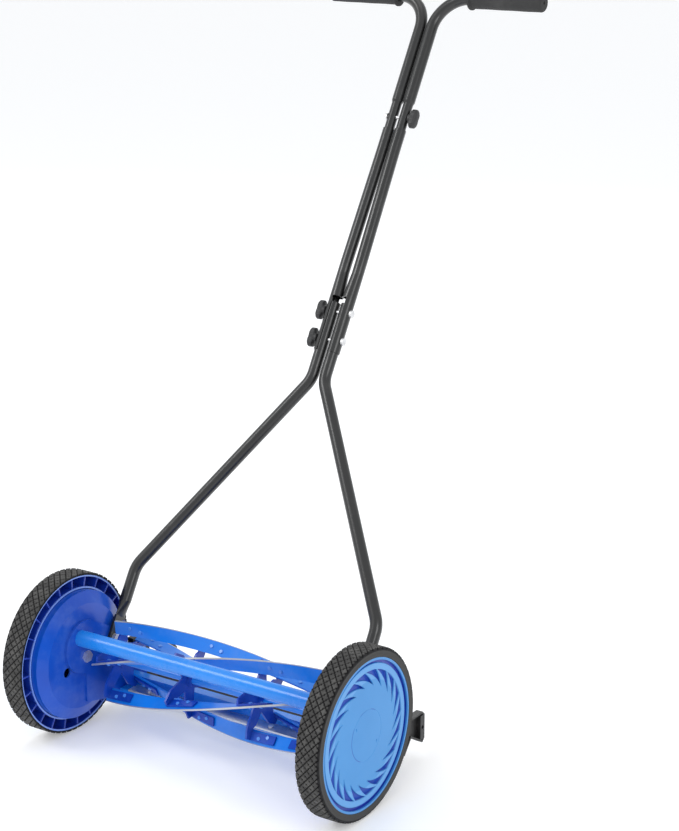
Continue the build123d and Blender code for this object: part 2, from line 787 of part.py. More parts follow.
# ---- handle -------------------------------------------------------------------------------
def in_handle(shape):
    """Moves a shape from the handle's own frame (x, along the tubes, off the plane)."""
    return handle_plane.location * shape


def swept_tube(points, radii, radius, wall):
    path = FilletPolyline(*points, radius=radii)
    start = Plane(origin=path @ 0, z_dir=path % 0)
    return sweep(start * Circle(radius), path=path) - sweep(start * Circle(radius - wall), path=path)


def across_plane(x, along):
    """Section plane square to the tubes."""
    return Plane(origin=(x, along, 0), x_dir=(1, 0, 0), z_dir=(0, -1, 0))


def bolt_hole(along, radius=bolt_radius + 0.2):
    return rod_x(radius, -60, 60, along, 0)


def make_lower_tube():
    flat_end = 34.0
    round_start = 60.0
    low_bend = 118.0
    fork_bend = lower_top - 127.0
    straight = [(plate_mid_x, round_start), (plate_mid_x, low_bend)]
    points = straight + [(fork_offset, fork_bend), (fork_offset, lower_top)]
    tube = swept_tube(points, 45, tube_radius, tube_wall)
    narrow = across_plane(plate_mid_x, flat_end) * Ellipse(handle_plate_thickness / 2, handle_plate_radius)
    wide = across_plane(plate_mid_x, round_start) * Circle(tube_radius)
    tube += loft([narrow.face(), wide.face()])
    strap = Rectangle(flat_end + 1, 2 * handle_plate_radius)
    outline = Circle(handle_plate_radius) + Pos((flat_end + 1) / 2, 0) * strap
    half_plate = handle_plate_thickness / 2
    tube += plate_x(outline, plate_mid_x - half_plate, plate_mid_x + half_plate)
    tube -= rod_x(5 + running_fit, plate_mid_x - 5, plate_mid_x + 5)
    for along in (clamp_low, clamp_high):
        tube -= bolt_hole(along)
    return in_handle(tube)


def make_middle_tube():
    shell_start = lower_top - 80.0
    shell_end = lower_top + 10.0
    round_start = lower_top + 50.0
    bow = tube_radius + bow_gap
    inner_r = tube_radius + 0.2
    outer_r = inner_r + shell_wall
    length = shell_end - shell_start
    section = Circle(outer_r) - Circle(inner_r)
    keep = Pos(outer_r / 2 + 1, 0) * Rectangle(outer_r, 3 * outer_r)
    half_shell = section & keep
    shell = extrude(across_plane(fork_offset, shell_end) * half_shell, length)
    outer = loft([
        (across_plane(fork_offset, shell_end) * Circle(outer_r)).face(),
        (across_plane(bow, round_start) * Circle(tube_radius)).face(),
    ])
    inner = loft([
        (across_plane(fork_offset, shell_end) * Circle(inner_r)).face(),
        (across_plane(bow, round_start) * Circle(tube_radius - tube_wall)).face(),
    ])
    points = [(bow, round_start), (bow, round_start + 20), (neck_offset, mouth - 36), (neck_offset, mouth)]
    tube = shell + (outer - inner) + swept_tube(points, 200, tube_radius, tube_wall)
    for along in (clamp_low, clamp_high):
        tube -= bolt_hole(along)
    return in_handle(tube)


def make_upper_tube():
    neck_start = mouth - 46.0
    cone = 4.0
    tube_end = top_bend_radius + neck_offset + grip_length - grip_end_wall
    points = [(neck_offset, shoulder + cone), (neck_offset, handle_length), (tube_end, handle_length)]
    tube = swept_tube(points, top_bend_radius, tube_radius, tube_wall)
    outer = loft([
        (across_plane(neck_offset, shoulder) * Circle(neck_radius)).face(),
        (across_plane(neck_offset, shoulder + cone) * Circle(tube_radius)).face(),
    ])
    inner = loft([
        (across_plane(neck_offset, shoulder) * Circle(neck_radius - tube_wall)).face(),
        (across_plane(neck_offset, shoulder + cone) * Circle(tube_radius - tube_wall)).face(),
    ])
    neck = across_plane(neck_offset, shoulder) * (Circle(neck_radius) - Circle(neck_radius - tube_wall))
    tube += (outer - inner) + extrude(neck, shoulder - neck_start)
    return in_handle(tube - bolt_hole(neck_bolt))


def make_grip():
    start = top_bend_radius + neck_offset + 1
    end = top_bend_radius + neck_offset + grip_length
    grip = rod_x(grip_radius, start, end, handle_length, 0)
    grip = fillet(grip.faces().sort_by(Axis.X)[-1].edges(), 4)
    grip += rod_x(grip_flange_radius, start, start + grip_flange_width, handle_length, 0)
    grip -= rod_x(tube_radius, start - 1, end - grip_end_wall, handle_length, 0)
    return in_handle(grip)


def knob_start(along):
    """Distance from the middle to the outside of the clamped tubes."""
    return neck_offset + neck_radius if along == neck_bolt else fork_offset + tube_radius + 0.2 + shell_wall


def make_clamp_bolt(along, head_side):
    """Round-head bolt across the tubes, with its head on one side and its thread on the other."""
    reach = knob_start(along)
    head = rod_x(6, reach, reach + 3.5, along, 0)
    bolt = head + rod_x(bolt_radius, -reach - 10, reach, along, 0)
    if head_side < 0:
        bolt = mirror(bolt, about=Plane.YZ)
    return in_handle(bolt)


def make_knob(along, knob_side):
    """Wing knob with a blind threaded hole."""
    start = knob_start(along) + slip
    thickness = 13.0
    wing_reach = 12.0
    circles = Circle(8) + Pos(wing_reach, 0) * Circle(5) + Pos(-wing_reach, 0) * Circle(5)
    wings = make_hull(circles.edges())
    knob = Pos(0, along, 0) * plate_x(wings, start + 4, start + thickness)
    knob += rod_x(7.5, start, start + thickness - 2, along, 0)
    knob -= rod_x(bolt_radius + running_fit, start - 1, start + 10.5, along, 0)
    if knob_side < 0:
        knob = mirror(knob, about=Plane.YZ)
    return in_handle(knob)


def make_pivot_bolt():
    """Shoulder bolt from inside the dish, with a nut on the handle's plate."""
    plate_inner = plate_mid_x - handle_plate_thickness / 2
    nut_x = plate_inner - slip
    bolt = hex_x(15, plate_inside_x, plate_inside_x + 5, pivot_y, pivot_z)
    bolt += rod_x(5, nut_x, plate_inside_x, pivot_y, pivot_z)
    return bolt + hex_x(15, nut_x - 6, nut_x, pivot_y, pivot_z)


# ---- all pieces ---------------------------------------------------------------------------
def pair(maker):
    """One piece on each side, as separate solids of one node."""
    return Compound(children=[to_side(maker(), "left"), to_side(maker(), "right")])


for side in ("left", "right"):
    turn = 0 if side == "left" else 180
    nodes[f"tyre_{side}"] = on_axle(to_side(make_tyre(), side))
    nodes[f"wheel_{side}"] = on_axle(to_side(make_wheel(), side))
    nodes[f"hub_cover_{side}"] = on_axle(Rot(0, 0, turn) * make_hub_cover())
    nodes[f"hub_bush_{side}"] = on_axle(to_side(make_hub_bush(), side))
    nodes[f"axle_bolt_{side}"] = on_axle(to_side(make_axle_bolt(), side))
    nodes[f"side_plate_{side}"] = to_side(make_side_plate(), side)
    nodes[f"reel_bearing_{side}"] = to_side(make_reel_bearing(), side)
    nodes[f"pinion_{side}"] = to_side(make_pinion(), side)
    nodes[f"roller_bracket_{side}"] = to_side(make_bracket(), side)
    nodes[f"lower_tube_{side}"] = to_side(make_lower_tube(), side)
    nodes[f"middle_tube_{side}"] = to_side(make_middle_tube(), side)
    nodes[f"upper_tube_{side}"] = to_side(make_upper_tube(), side)
    nodes[f"grip_{side}"] = to_side(make_grip(), side)

nodes["axle_clips"] = pair(lambda: on_axle(make_axle_clip()))
nodes["tie_bar"] = make_tie_bar()
nodes["tie_bar_bolts"] = pair(make_tie_bar_bolt)
nodes["bed_bar"] = make_bed_bar()
nodes["bed_bar_bolts"] = pair(make_bar_bolt)
nodes["bed_knife"] = make_bed_knife()
nodes["knife_screws"] = make_knife_screws()
nodes["reel_shaft"] = make_reel_shaft()
for number in range(blade_count):
    nodes[f"reel_blade_{number + 1}"] = make_blade(number)
for number, place_x in enumerate(spider_places()):
    nodes[f"reel_spider_{number + 1}"] = make_spider(place_x)
nodes["blade_rivets"] = make_blade_rivets()
nodes["drive_pawls"] = make_pawls()
nodes["pinion_clips"] = pair(make_pinion_clip)
nodes["roller"] = make_roller()
nodes["roller_bushes"] = pair(make_roller_bush)
nodes["roller_spacers"] = pair(make_roller_spacer)
nodes["roller_axle"] = make_roller_axle()
nodes["bracket_bolts"] = Compound(
    children=[to_side(bolt, side) for side in ("left", "right") for bolt in make_bracket_bolts().children]
)
nodes["handle_pivot_bolts"] = pair(make_pivot_bolt)
nodes["lower_clamp_bolt"] = make_clamp_bolt(clamp_low, 1)
nodes["middle_clamp_bolt"] = make_clamp_bolt(clamp_high, 1)
nodes["upper_clamp_bolt"] = make_clamp_bolt(neck_bolt, -1)
nodes["lower_knob"] = make_knob(clamp_low, -1)
nodes["middle_knob"] = make_knob(clamp_high, -1)
nodes["upper_knob"] = make_knob(neck_bolt, 1)

for name, shape in nodes.items():
    export_step(Pos(0, -y_middle, 0) * shape, f"parts/{name}.step")
print(f"{len(nodes)} nodes, origin {y_middle:.3f} mm behind the axle, knife edge at y {knife_y:.2f}")
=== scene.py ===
import json
import math
import bpy
import numpy as np
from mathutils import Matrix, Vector


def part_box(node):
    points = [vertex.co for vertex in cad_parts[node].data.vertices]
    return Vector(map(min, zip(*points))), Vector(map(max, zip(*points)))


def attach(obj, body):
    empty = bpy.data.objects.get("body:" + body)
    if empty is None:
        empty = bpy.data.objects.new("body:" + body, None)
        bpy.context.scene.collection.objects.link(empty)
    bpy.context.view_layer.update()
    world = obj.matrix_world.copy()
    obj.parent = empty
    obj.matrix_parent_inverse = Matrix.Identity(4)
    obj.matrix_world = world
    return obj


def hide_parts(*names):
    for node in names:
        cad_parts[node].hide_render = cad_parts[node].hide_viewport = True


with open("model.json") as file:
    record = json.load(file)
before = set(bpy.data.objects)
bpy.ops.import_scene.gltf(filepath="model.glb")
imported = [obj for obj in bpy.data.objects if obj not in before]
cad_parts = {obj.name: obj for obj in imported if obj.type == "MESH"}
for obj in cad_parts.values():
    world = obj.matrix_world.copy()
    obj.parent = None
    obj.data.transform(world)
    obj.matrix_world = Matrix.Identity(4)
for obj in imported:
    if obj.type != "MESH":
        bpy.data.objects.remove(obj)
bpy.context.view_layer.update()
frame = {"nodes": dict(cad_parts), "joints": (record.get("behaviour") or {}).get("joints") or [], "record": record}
nodes = frame["nodes"]
sides = ("left", "right")
joints = {joint["name"]: joint for joint in frame["joints"]}
mm = 0.001
axle = Vector(joints["wheel_left_spin"]["pos_m"])
reelAxis = Vector(joints["reel_spin"]["pos_m"])
pivot = Vector(joints["handle_fold"]["pos_m"])
bpy.context.scene.view_settings.view_transform = "Standard"
print("frame loaded")


def gridObject(name, points, material, body, replaced, wrapRows=False):
    # a closed surface: columns always join up, and rows join up or end in a point at both ends
    rows, columns = points.shape[:2]
    index = np.arange(rows * columns).reshape(rows, columns)
    right = np.roll(index, -1, axis=1)
    top = index if wrapRows else index[:-1]
    topRight = right if wrapRows else right[:-1]
    low = np.roll(index, -1, axis=0) if wrapRows else index[1:]
    lowRight = np.roll(right, -1, axis=0) if wrapRows else right[1:]
    quads = np.stack([top, topRight, lowRight, low], axis=-1).reshape(-1, 4)
    verts = points.reshape(-1, 3)
    fans = np.zeros((0, 3), int)
    if not wrapRows:
        first, last = rows * columns, rows * columns + 1
        verts = np.vstack([verts, points[0].mean(axis=0), points[-1].mean(axis=0)])
        start = np.stack([np.full(columns, first), right[0], index[0]], axis=-1)
        end = np.stack([np.full(columns, last), index[-1], right[-1]], axis=-1)
        fans = np.vstack([start, end])
    tris = np.vstack([quads[:, [0, 1, 2]], quads[:, [0, 2, 3]], fans])
    centred = verts - verts.mean(axis=0)
    a, b, c = (centred[tris[:, k]] for k in range(3))
    if np.einsum("ij,ij->i", a, np.cross(b, c)).sum() < 0:   # the volume's sign says which way is out
        quads, fans = quads[:, ::-1], fans[:, ::-1]
    mesh = bpy.data.meshes.new(name)
    mesh.from_pydata(verts.tolist(), [], quads.tolist() + fans.tolist())
    mesh.shade_smooth()
    mesh.materials.append(material)
    made = bpy.data.objects.new(name, mesh)
    bpy.context.scene.collection.objects.link(made)
    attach(made, body)
    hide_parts(*replaced)
    return made


def aroundX(x, radius, angle, centre):
    # a point at a distance from an axis along X: y and z are radius times cosine and sine
    x, radius, angle = np.broadcast_arrays(x, radius, angle)
    return np.stack([x, centre[1] + radius * np.cos(angle), centre[2] + radius * np.sin(angle)], axis=-1)


def smooth(low, high, value):
    # 0 below low, 1 above high, and a soft S between
    t = np.clip((value - low) / (high - low), 0, 1)
    return t * t * (3 - 2 * t)


def alongProfile(corners, spacing):
    # points spaced along straight runs between the corners
    points = []
    for start, end in zip(corners[:-1], corners[1:]):
        start, end = np.array(start, float), np.array(end, float)
        count = max(1, round(float(np.linalg.norm(end - start)) / spacing))
        points.append(start + (end - start) * (np.arange(count) / count)[:, None])
    points.append(np.array([corners[-1]], float))
    return np.vstack(points)


class Field:
    # one value in a node tree; the operators add Math nodes
    def __init__(self, tree, socket):
        self.tree, self.socket = tree, socket

    def node(self, kind, settings=None, inputs=None, output=0):
        made = self.tree.nodes.new(kind)
        for name, value in (settings or {}).items():
            setattr(made, name, value)
        for name, value in (inputs or {}).items():
            if isinstance(value, Field):
                self.tree.links.new(value.socket, made.inputs[name])
            else:
                made.inputs[name].default_value = value
        return Field(self.tree, made.outputs[output])

    def math(self, operation, first, second=0.0):
        return self.node("ShaderNodeMath", {"operation": operation}, {0: first, 1: second})

    def __add__(self, other):
        return self.math("ADD", self, other)

    def __radd__(self, other):
        return self.math("ADD", other, self)

    def __sub__(self, other):
        return self.math("SUBTRACT", self, other)

    def __rsub__(self, other):
        return self.math("SUBTRACT", other, self)

    def __mul__(self, other):
        return self.math("MULTIPLY", self, other)

    def __rmul__(self, other):
        return self.math("MULTIPLY", other, self)

    def __pow__(self, other):
        return self.math("POWER", self, other)

    def size(self):
        return self.math("ABSOLUTE", self)

    def ramp(self, low, high):
        settings = {"interpolation_type": "SMOOTHSTEP"}
        return self.node("ShaderNodeMapRange", settings, {"Value": self, "From Min": low, "From Max": high})

    def mix(self, dark, light):
        # the colour dark where this is 0 and light where it is 1
        def asColour(c):
            return c if isinstance(c, Field) else (*c, 1)
        settings = {"data_type": "RGBA"}
        return self.node("ShaderNodeMix", settings, {0: self, 6: asColour(dark), 7: asColour(light)}, 2)

    def noise(self, scale, detail=3.0, roughness=0.55):
        inputs = {"Vector": self, "Scale": scale, "Detail": detail, "Roughness": roughness}
        return self.node("ShaderNodeTexNoise", None, inputs)

    def stretched(self, x, y, z):
        return self.node("ShaderNodeMapping", None, {"Vector": self, "Scale": (x, y, z)})

    def part(self, axis):
        return self.node("ShaderNodeSeparateXYZ", None, {0: self}, axis)

    def reach(self, centre):
        # distance from a line along X
        y = self.part(1) - centre[1]
        z = self.part(2) - centre[2]
        return (y * y + z * z) ** 0.5


def newMaterial(name, fixed, build):
    # build(place) returns what varies: a dictionary of colour, roughness, metallic and bump
    made = bpy.data.materials.new(name)
    made.use_nodes = True
    tree = made.node_tree
    shader = tree.nodes["Principled BSDF"]
    for socket, value in fixed.items():
        shader.inputs[socket].default_value = value
    place = Field(tree, tree.nodes.new("ShaderNodeTexCoord").outputs["Object"])
    varied = build(place)
    for socket in ("Base Color", "Roughness", "Metallic"):
        if socket in varied:
            tree.links.new(varied[socket].socket, shader.inputs[socket])
    if "bump" in varied:
        height, distance = varied["bump"]
        bump = place.node("ShaderNodeBump", None, {"Height": height, "Distance": distance, "Strength": 1.0})
        tree.links.new(bump.socket, shader.inputs["Normal"])
    return made


def dusted(place, strength):
    # a thin film of dust that gathers in broad soft patches
    return (place.noise(11, 4) * 0.7 + place.noise(90, 4) * 0.3).ramp(0.46, 0.72) * strength


def bluePaint(name, colour, light, roughness, coat):
    # glossy paint that wanders between two blues, with fine orange peel under a thin film of dust
    orangePeel = 0.04 * mm

    def build(place):
        dust = dusted(place, 0.10)
        tint = place.noise(9, 3).ramp(0.3, 0.7).mix(colour, light)
        return {
            "Base Color": dust.mix(tint, (0.30, 0.48, 0.80)),
            "Roughness": roughness + dust * 0.8 + (place.noise(900, 3) - 0.5) * 0.08,
            "bump": (place.noise(260, 2), orangePeel),
        }
    fixed = {"Coat Weight": coat, "Coat Roughness": 0.12, "Specular IOR Level": 0.35}
    return newMaterial(name, fixed, build)


def wheelMaterial():
    # moulded wheel: pale on its outer face; its inner face takes a deep blue of painted shade, with painted
    # highlights on its thin innermost edges and rib tops
    look = {"paintedShade": (0.005, 0.030, 0.32), "pale": (0.042, 0.25, 0.62), "edge": (0.22, 0.36, 0.84)}
    low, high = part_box("wheel_left")
    paleDepth = 3.6 * mm
    ribInset = 1.5 * mm

    def build(place):
        across = place.part(0).size()
        outside = (across - (high.x - paleDepth)).ramp(0, 2.0 * mm)
        # masks for the painted highlights: the innermost edges and the rib tops
        inside = 1 - (across - low.x).ramp(0.3 * mm, 0.9 * mm)
        ribs = 1 - (across - (low.x + ribInset)).size().ramp(0.15 * mm, 0.35 * mm)
        edge = (inside + ribs * 0.8).ramp(0, 1)
        grain = place.noise(700, 4, 0.6)
        # the painted shade's deep blue, with a little random tone
        paintedShade = place.noise(12, 3).mix(look["paintedShade"], tuple(1.35 * c for c in look["paintedShade"]))
        return {
            # painted shade away from the outer face, painted highlight on the inner edges and rib tops
            "Base Color": edge.mix(outside.mix(paintedShade, look["pale"]), look["edge"]),
            "Roughness": 0.30 + grain * 0.16,
            "bump": (grain, 0.00003),
        }
    return newMaterial("wheelPlastic", {"Coat Weight": 0.1, "Coat Roughness": 0.2}, build)


# the louvred hub covers, for their material and for makeCover
cover = {
    "louvres": 20, "border": 9.2 * mm, "width": 23.0 * mm, "mouth": 16.2, "lean": 17.0, "depth": 4.6 * mm,
    "petalDrop": 1.0 * mm, "ribRise": 0.45 * mm, "ribWidth": 0.65, "columnsEach": 40, "dome": 1.5 * mm,
    "mark": 38 * mm, "markZone": (26 * mm, 42 * mm), "markDepth": 0.4 * mm, "markWidth": 0.45 * mm,
    "slitPlace": 32 * mm, "slitDepth": 1.2 * mm, "slitAngles": (145.5, 325.5),
    "slitSize": (1.2 * mm, 2.4 * mm), "edgeRound": 0.7 * mm, "middle": 0.4 * mm,
    "ribsFrom": (80 * mm, 82 * mm),
}


def coverMaterial():
    # moulded cover: pale face; proud ribs lighter as painted highlight; louvre mouths and rim deep blue as painted
    # shade, and a scored ring darkened in broken stretches as painted shade in its groove
    look = {"pale": (0.042, 0.25, 0.60), "light": (0.052, 0.28, 0.65), "paintedShade": (0.001, 0.055, 0.42),
            "edge": (0.22, 0.48, 0.88)}
    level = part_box("hub_cover_left")[1].x - cover["dome"]

    def build(place):
        across = place.part(0).size()
        # painted shade below the face level: the louvre mouths and the rim
        sunk = (level - across).ramp(0.9 * mm, 2.4 * mm)
        # painted shade in the scored ring's groove, in broken stretches
        ring = 1 - (place.reach(axle) - cover["mark"]).size().ramp(0.3 * mm, 0.75 * mm)
        # painted highlight on the proud ribs
        proud = (across - level).ramp(-0.35 * mm, 0.1 * mm) * place.reach(axle).ramp(*cover["ribsFrom"])
        gaps = place.noise(22, 2).ramp(0.44, 0.52)
        face = place.noise(8, 3).ramp(0.3, 0.7).mix(look["pale"], look["light"])
        grain = place.noise(620, 4, 0.6)
        scored = (ring * gaps * 0.8).mix((proud * 0.35).mix(face, look["edge"]), look["paintedShade"])
        return {
            "Base Color": sunk.mix(scored, look["paintedShade"]),
            "Roughness": 0.36 + grain * 0.18,
            "bump": (grain, 0.00004),
        }
    return newMaterial("coverPlastic", {"Coat Weight": 0.05, "Coat Roughness": 0.25}, build)


def tyreMaterial():
    # rubber: charcoal and lightly dusted on its blocks and on the wall, near-black in the sunk tread as painted
    # shade
    look = {"block": (0.046, 0.045, 0.044), "groove": (0.004, 0.004, 0.005), "dust": (0.17, 0.166, 0.16)}
    treadDepth = (1.9 * mm, 0.6 * mm)
    wallDepth = (5.4 * mm, 4.4 * mm)

    def build(place):
        radius = place.reach(axle)
        tread = radius.ramp(*(axle.z - depth for depth in treadDepth))
        wall = 1 - radius.ramp(*(axle.z - depth for depth in wallDepth))
        top = (tread + wall).ramp(0, 1)
        grain = place.noise(1500, 4, 0.7)
        worn = place.noise(70, 4).ramp(0.4, 0.7) * tread
        # the near-black groove colour is painted shade in the sunk tread
        colour = top.mix(look["groove"], look["block"])
        return {
            "Base Color": (worn * 0.35).mix(colour, look["dust"]),
            "Roughness": 0.62 + grain * 0.3,
            "bump": (grain + place.noise(300, 3) * 0.8, 0.00016),
        }
    return newMaterial("tyreRubber", {"Specular IOR Level": 0.4}, build)


def reelMaterial():
    # blue paint with the outer edge of each blade ground bright
    look = {"blue": (0.001, 0.180, 0.72), "light": (0.004, 0.23, 0.84), "steel": (0.62, 0.64, 0.68)}
    bladeReach = max(reelAxis.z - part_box(f"reel_blade_{number}")[0].z for number in range(1, 6))
    groundWidth = 1.3 * mm
    edgeStart = bladeReach - groundWidth

    def build(place):
        radius = place.reach(reelAxis)
        wander = (place.noise(160, 4) - 0.5) * 0.8 * mm
        edge = (radius + wander).ramp(edgeStart, edgeStart + 0.5 * mm)
        dust = dusted(place, 0.10)
        streaks = place.stretched(0.15, 1, 1).noise(1400, 3)
        paint = dust.mix(place.noise(20, 3).mix(look["blue"], look["light"]), (0.35, 0.47, 0.70))
        return {
            "Base Color": edge.mix(paint, streaks.mix((0.42, 0.43, 0.46), look["steel"])),
            "Metallic": edge,
            "Roughness": 0.30 + dust * 0.4 + edge * 0.06,
            "bump": (streaks * edge + place.noise(280, 2) * (1 - edge), 0.00005),
        }
    return newMaterial("bladePaint", {"Coat Weight": 0.15, "Coat Roughness": 0.15}, build)


def metalMaterial(name, colour, light, roughness, stretch):
    # bare metal with fine tool marks along one direction and faint stains
    def build(place):
        marks = place.stretched(*stretch).noise(1800, 4, 0.7)
        stain = place.noise(180, 4).ramp(0.45, 0.75)
        return {
            "Base Color": (stain * 0.35).mix(marks.mix(light, colour), tuple(0.62 * c for c in colour)),
            "Roughness": roughness + marks * 0.18 + stain * 0.12,
            "bump": (marks, 0.00003),
        }
    return newMaterial(name, {"Metallic": 1.0}, build)


def powderCoat():
    # charcoal powder coat: fine pebbled skin, rubbed a little shinier in patches
    look = {"dark": (0.005, 0.005, 0.005), "light": (0.013, 0.013, 0.013), "rub": (0.055, 0.054, 0.052)}

    def build(place):
        pebble = place.noise(1300, 3, 0.6)
        rubbed = place.noise(28, 4).ramp(0.55, 0.75)
        return {
            "Base Color": (rubbed * 0.25).mix(pebble.mix(look["dark"], look["light"]), look["rub"]),
            "Roughness": 0.26 + pebble * 0.16 - rubbed * 0.06,
            "bump": (pebble, 0.00009),
        }
    fixed = {"Specular IOR Level": 0.4, "Coat Weight": 0.55, "Coat Roughness": 0.16}
    return newMaterial("tubeCoat", fixed, build)


def darkPlastic(name, dark, light, scale, depth, roughness):
    # moulded or foamed black skin
    def build(place):
        cells = place.noise(scale, 4, 0.65)
        dust = dusted(place, 0.15)
        return {
            "Base Color": dust.mix(cells.mix(dark, light), (0.16, 0.155, 0.15)),
            "Roughness": roughness + cells * 0.15,
            "bump": (cells, depth),
        }
    return newMaterial(name, {}, build)


finish = {
    "tyre": tyreMaterial(),
    "wheel": wheelMaterial(),
    "cover": coverMaterial(),
    "plate": bluePaint("platePaint", (0.001, 0.058, 0.44), (0.002, 0.082, 0.54), 0.30, 0.22),
    "bar": bluePaint("barPaint", (0.006, 0.20, 0.72), (0.012, 0.25, 0.82), 0.26, 0.3),
    "reel": reelMaterial(),
    # spiders: the reel's blue darkened as painted shade, for the shadow inside the reel
    "spider": bluePaint("shadedSpiderPaint", (0.001, 0.040, 0.36), (0.003, 0.065, 0.48), 0.32, 0.2),
    # rivets: a paler blue as painted highlight on their heads
    "rivet": bluePaint("highlightedRivetPaint", (0.05, 0.22, 0.72), (0.09, 0.30, 0.80), 0.26, 0.3),
    "knife": metalMaterial("knifeSteel", (0.58, 0.60, 0.64), (0.66, 0.68, 0.72), 0.30, (0.05, 1, 1)),
    "zinc": metalMaterial("zincPlate", (0.76, 0.76, 0.77), (0.88, 0.88, 0.88), 0.40, (1, 1, 1)),
    "bronze": metalMaterial("bearingBronze", (0.50, 0.36, 0.17), (0.62, 0.46, 0.24), 0.35, (1, 1, 1)),
    "tube": powderCoat(),
    "foam": darkPlastic("gripFoam", (0.012, 0.012, 0.012), (0.045, 0.045, 0.045), 1700, 0.00035, 0.72),
    "knob": darkPlastic("knobPlastic", (0.013, 0.013, 0.014), (0.030, 0.030, 0.031), 900, 0.00006, 0.38),
    "black": darkPlastic("bracketPlastic", (0.008, 0.008, 0.009), (0.016, 0.016, 0.017), 700, 0.00008, 0.42),
}
slotFinish = {
    "tyre_rubber": "tyre", "wheel_plastic": "wheel", "cover_plastic": "cover", "plate_paint": "plate",
    "frame_paint": "bar", "reel_paint": "reel", "knife_steel": "knife", "zinc_steel": "zinc",
    "bearing_bronze": "bronze", "bush_nylon": "black", "handle_paint": "tube", "grip_foam": "foam",
    "knob_plastic": "knob", "roller_plastic": "black",
}
# the spiders take the painted-shade blue, the rivets the painted-highlight blue
nodeFinish = {f"reel_spider_{number}": "spider" for number in range(1, 5)}
nodeFinish["blade_rivets"] = "rivet"
for entry in frame["record"]["subparts"]:
    cadMesh = nodes[entry["node"]].data
    cadMesh.materials.clear()
    cadMesh.materials.append(finish[nodeFinish.get(entry["node"], slotFinish[entry["material_slot"]])])
print("materials made")

tyre = {
    "grooveDepth": 2.6 * mm, "grooveShare": 0.10, "grooveSlope": 0.06, "blocksAround": 60,
    "blocksAcross": 3.2, "notchShare": 0.07, "notchReach": 0.22, "notchDepth": 2.2 * mm,
    "columns": 1200, "spacing": 0.80 * mm, "shoulder": 5.0 * mm, "seat": 14.2 * mm, "band": 4.0 * mm,
    "wall": 5.2 * mm, "ridge": 0.35 * mm, "ridgePlace": 8.6 * mm, "ridgeWidth": 0.6 * mm,
    "treadEdge": (3.2 * mm, 1.4 * mm), "wallFace": 0.1 * mm,
}


def tyreProfile(width, radius):
    # x from the outer face inwards, and the radius: sidewall, rounded shoulder, tread and rounded edge in
    # close rows, then the two hidden corners of the seat
    s, half = tyre["shoulder"], math.pi / 2
    outer = [(s - s * math.cos(a), radius - s + s * math.sin(a)) for a in np.linspace(0, half, 7)]
    edge = tyre["band"] * 0.6
    inner = [(width - edge + edge * math.sin(a), radius - edge + edge * math.cos(a))
             for a in np.linspace(0, half, 5)]
    shown = [(0, radius - tyre["seat"]), *outer, *inner, (width, radius - tyre["band"])]
    hidden = [(tyre["wall"], radius - tyre["band"]), (tyre["wall"], radius - tyre["seat"])]
    return np.vstack([alongProfile(shown, tyre["spacing"]), hidden])


def makeTyre(side):
    # the profile swept around the axle, less the tread's grooves and notches and a fine ring on the wall
    low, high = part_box(f"tyre_{side}")
    width, radius = high.x - low.x, (high.z - low.z) / 2
    profile = tyreProfile(width, radius)
    x, r = profile[:, 0][:, None], profile[:, 1][:, None]
    turn = np.arange(tyre["columns"])[None, :] * 2 * math.pi / tyre["columns"]
    around = turn * tyre["blocksAround"] / (2 * math.pi)
    across = x * tyre["blocksAcross"] / width
    # grooves where around + across or around - across is a whole number, and notches half way between them
    lines = (around + across, around - across)
    toGroove = [np.abs((line + 0.5) % 1 - 0.5) for line in lines]
    nearest = np.minimum(*toGroove)
    groove = 1 - smooth(tyre["grooveShare"] - tyre["grooveSlope"], tyre["grooveShare"], nearest)
    notch = np.zeros_like(groove)
    for here, other in (toGroove, toGroove[::-1]):
        middle = 1 - smooth(0.5 * tyre["notchShare"], tyre["notchShare"], 0.5 - here)
        notch = np.maximum(notch, middle * (1 - smooth(0.8 * tyre["notchReach"], tyre["notchReach"], other)))
    treadStart, treadFull = (radius - depth for depth in tyre["treadEdge"])
    onTread = smooth(treadStart, treadFull, r) * np.ones_like(around)
    fromRidge = (r - radius + tyre["ridgePlace"]) / tyre["ridgeWidth"]
    ring = np.exp(-(fromRidge ** 2)) * (x < tyre["wallFace"]) * tyre["ridge"]
    depth = onTread * np.maximum(groove * tyre["grooveDepth"], notch * tyre["notchDepth"])
    inset = ring * np.ones_like(around)
    outward = 1 if side == "left" else -1
    face = high.x if side == "left" else low.x
    points = aroundX(face - outward * (x + inset), r - depth, turn, axle)
    gridObject(f"treadedTyre_{side}", points, finish["tyre"], f"wheel_{side}", [f"tyre_{side}"],
               wrapRows=True)


for side in sides:
    makeTyre(side)
print("tyres made")


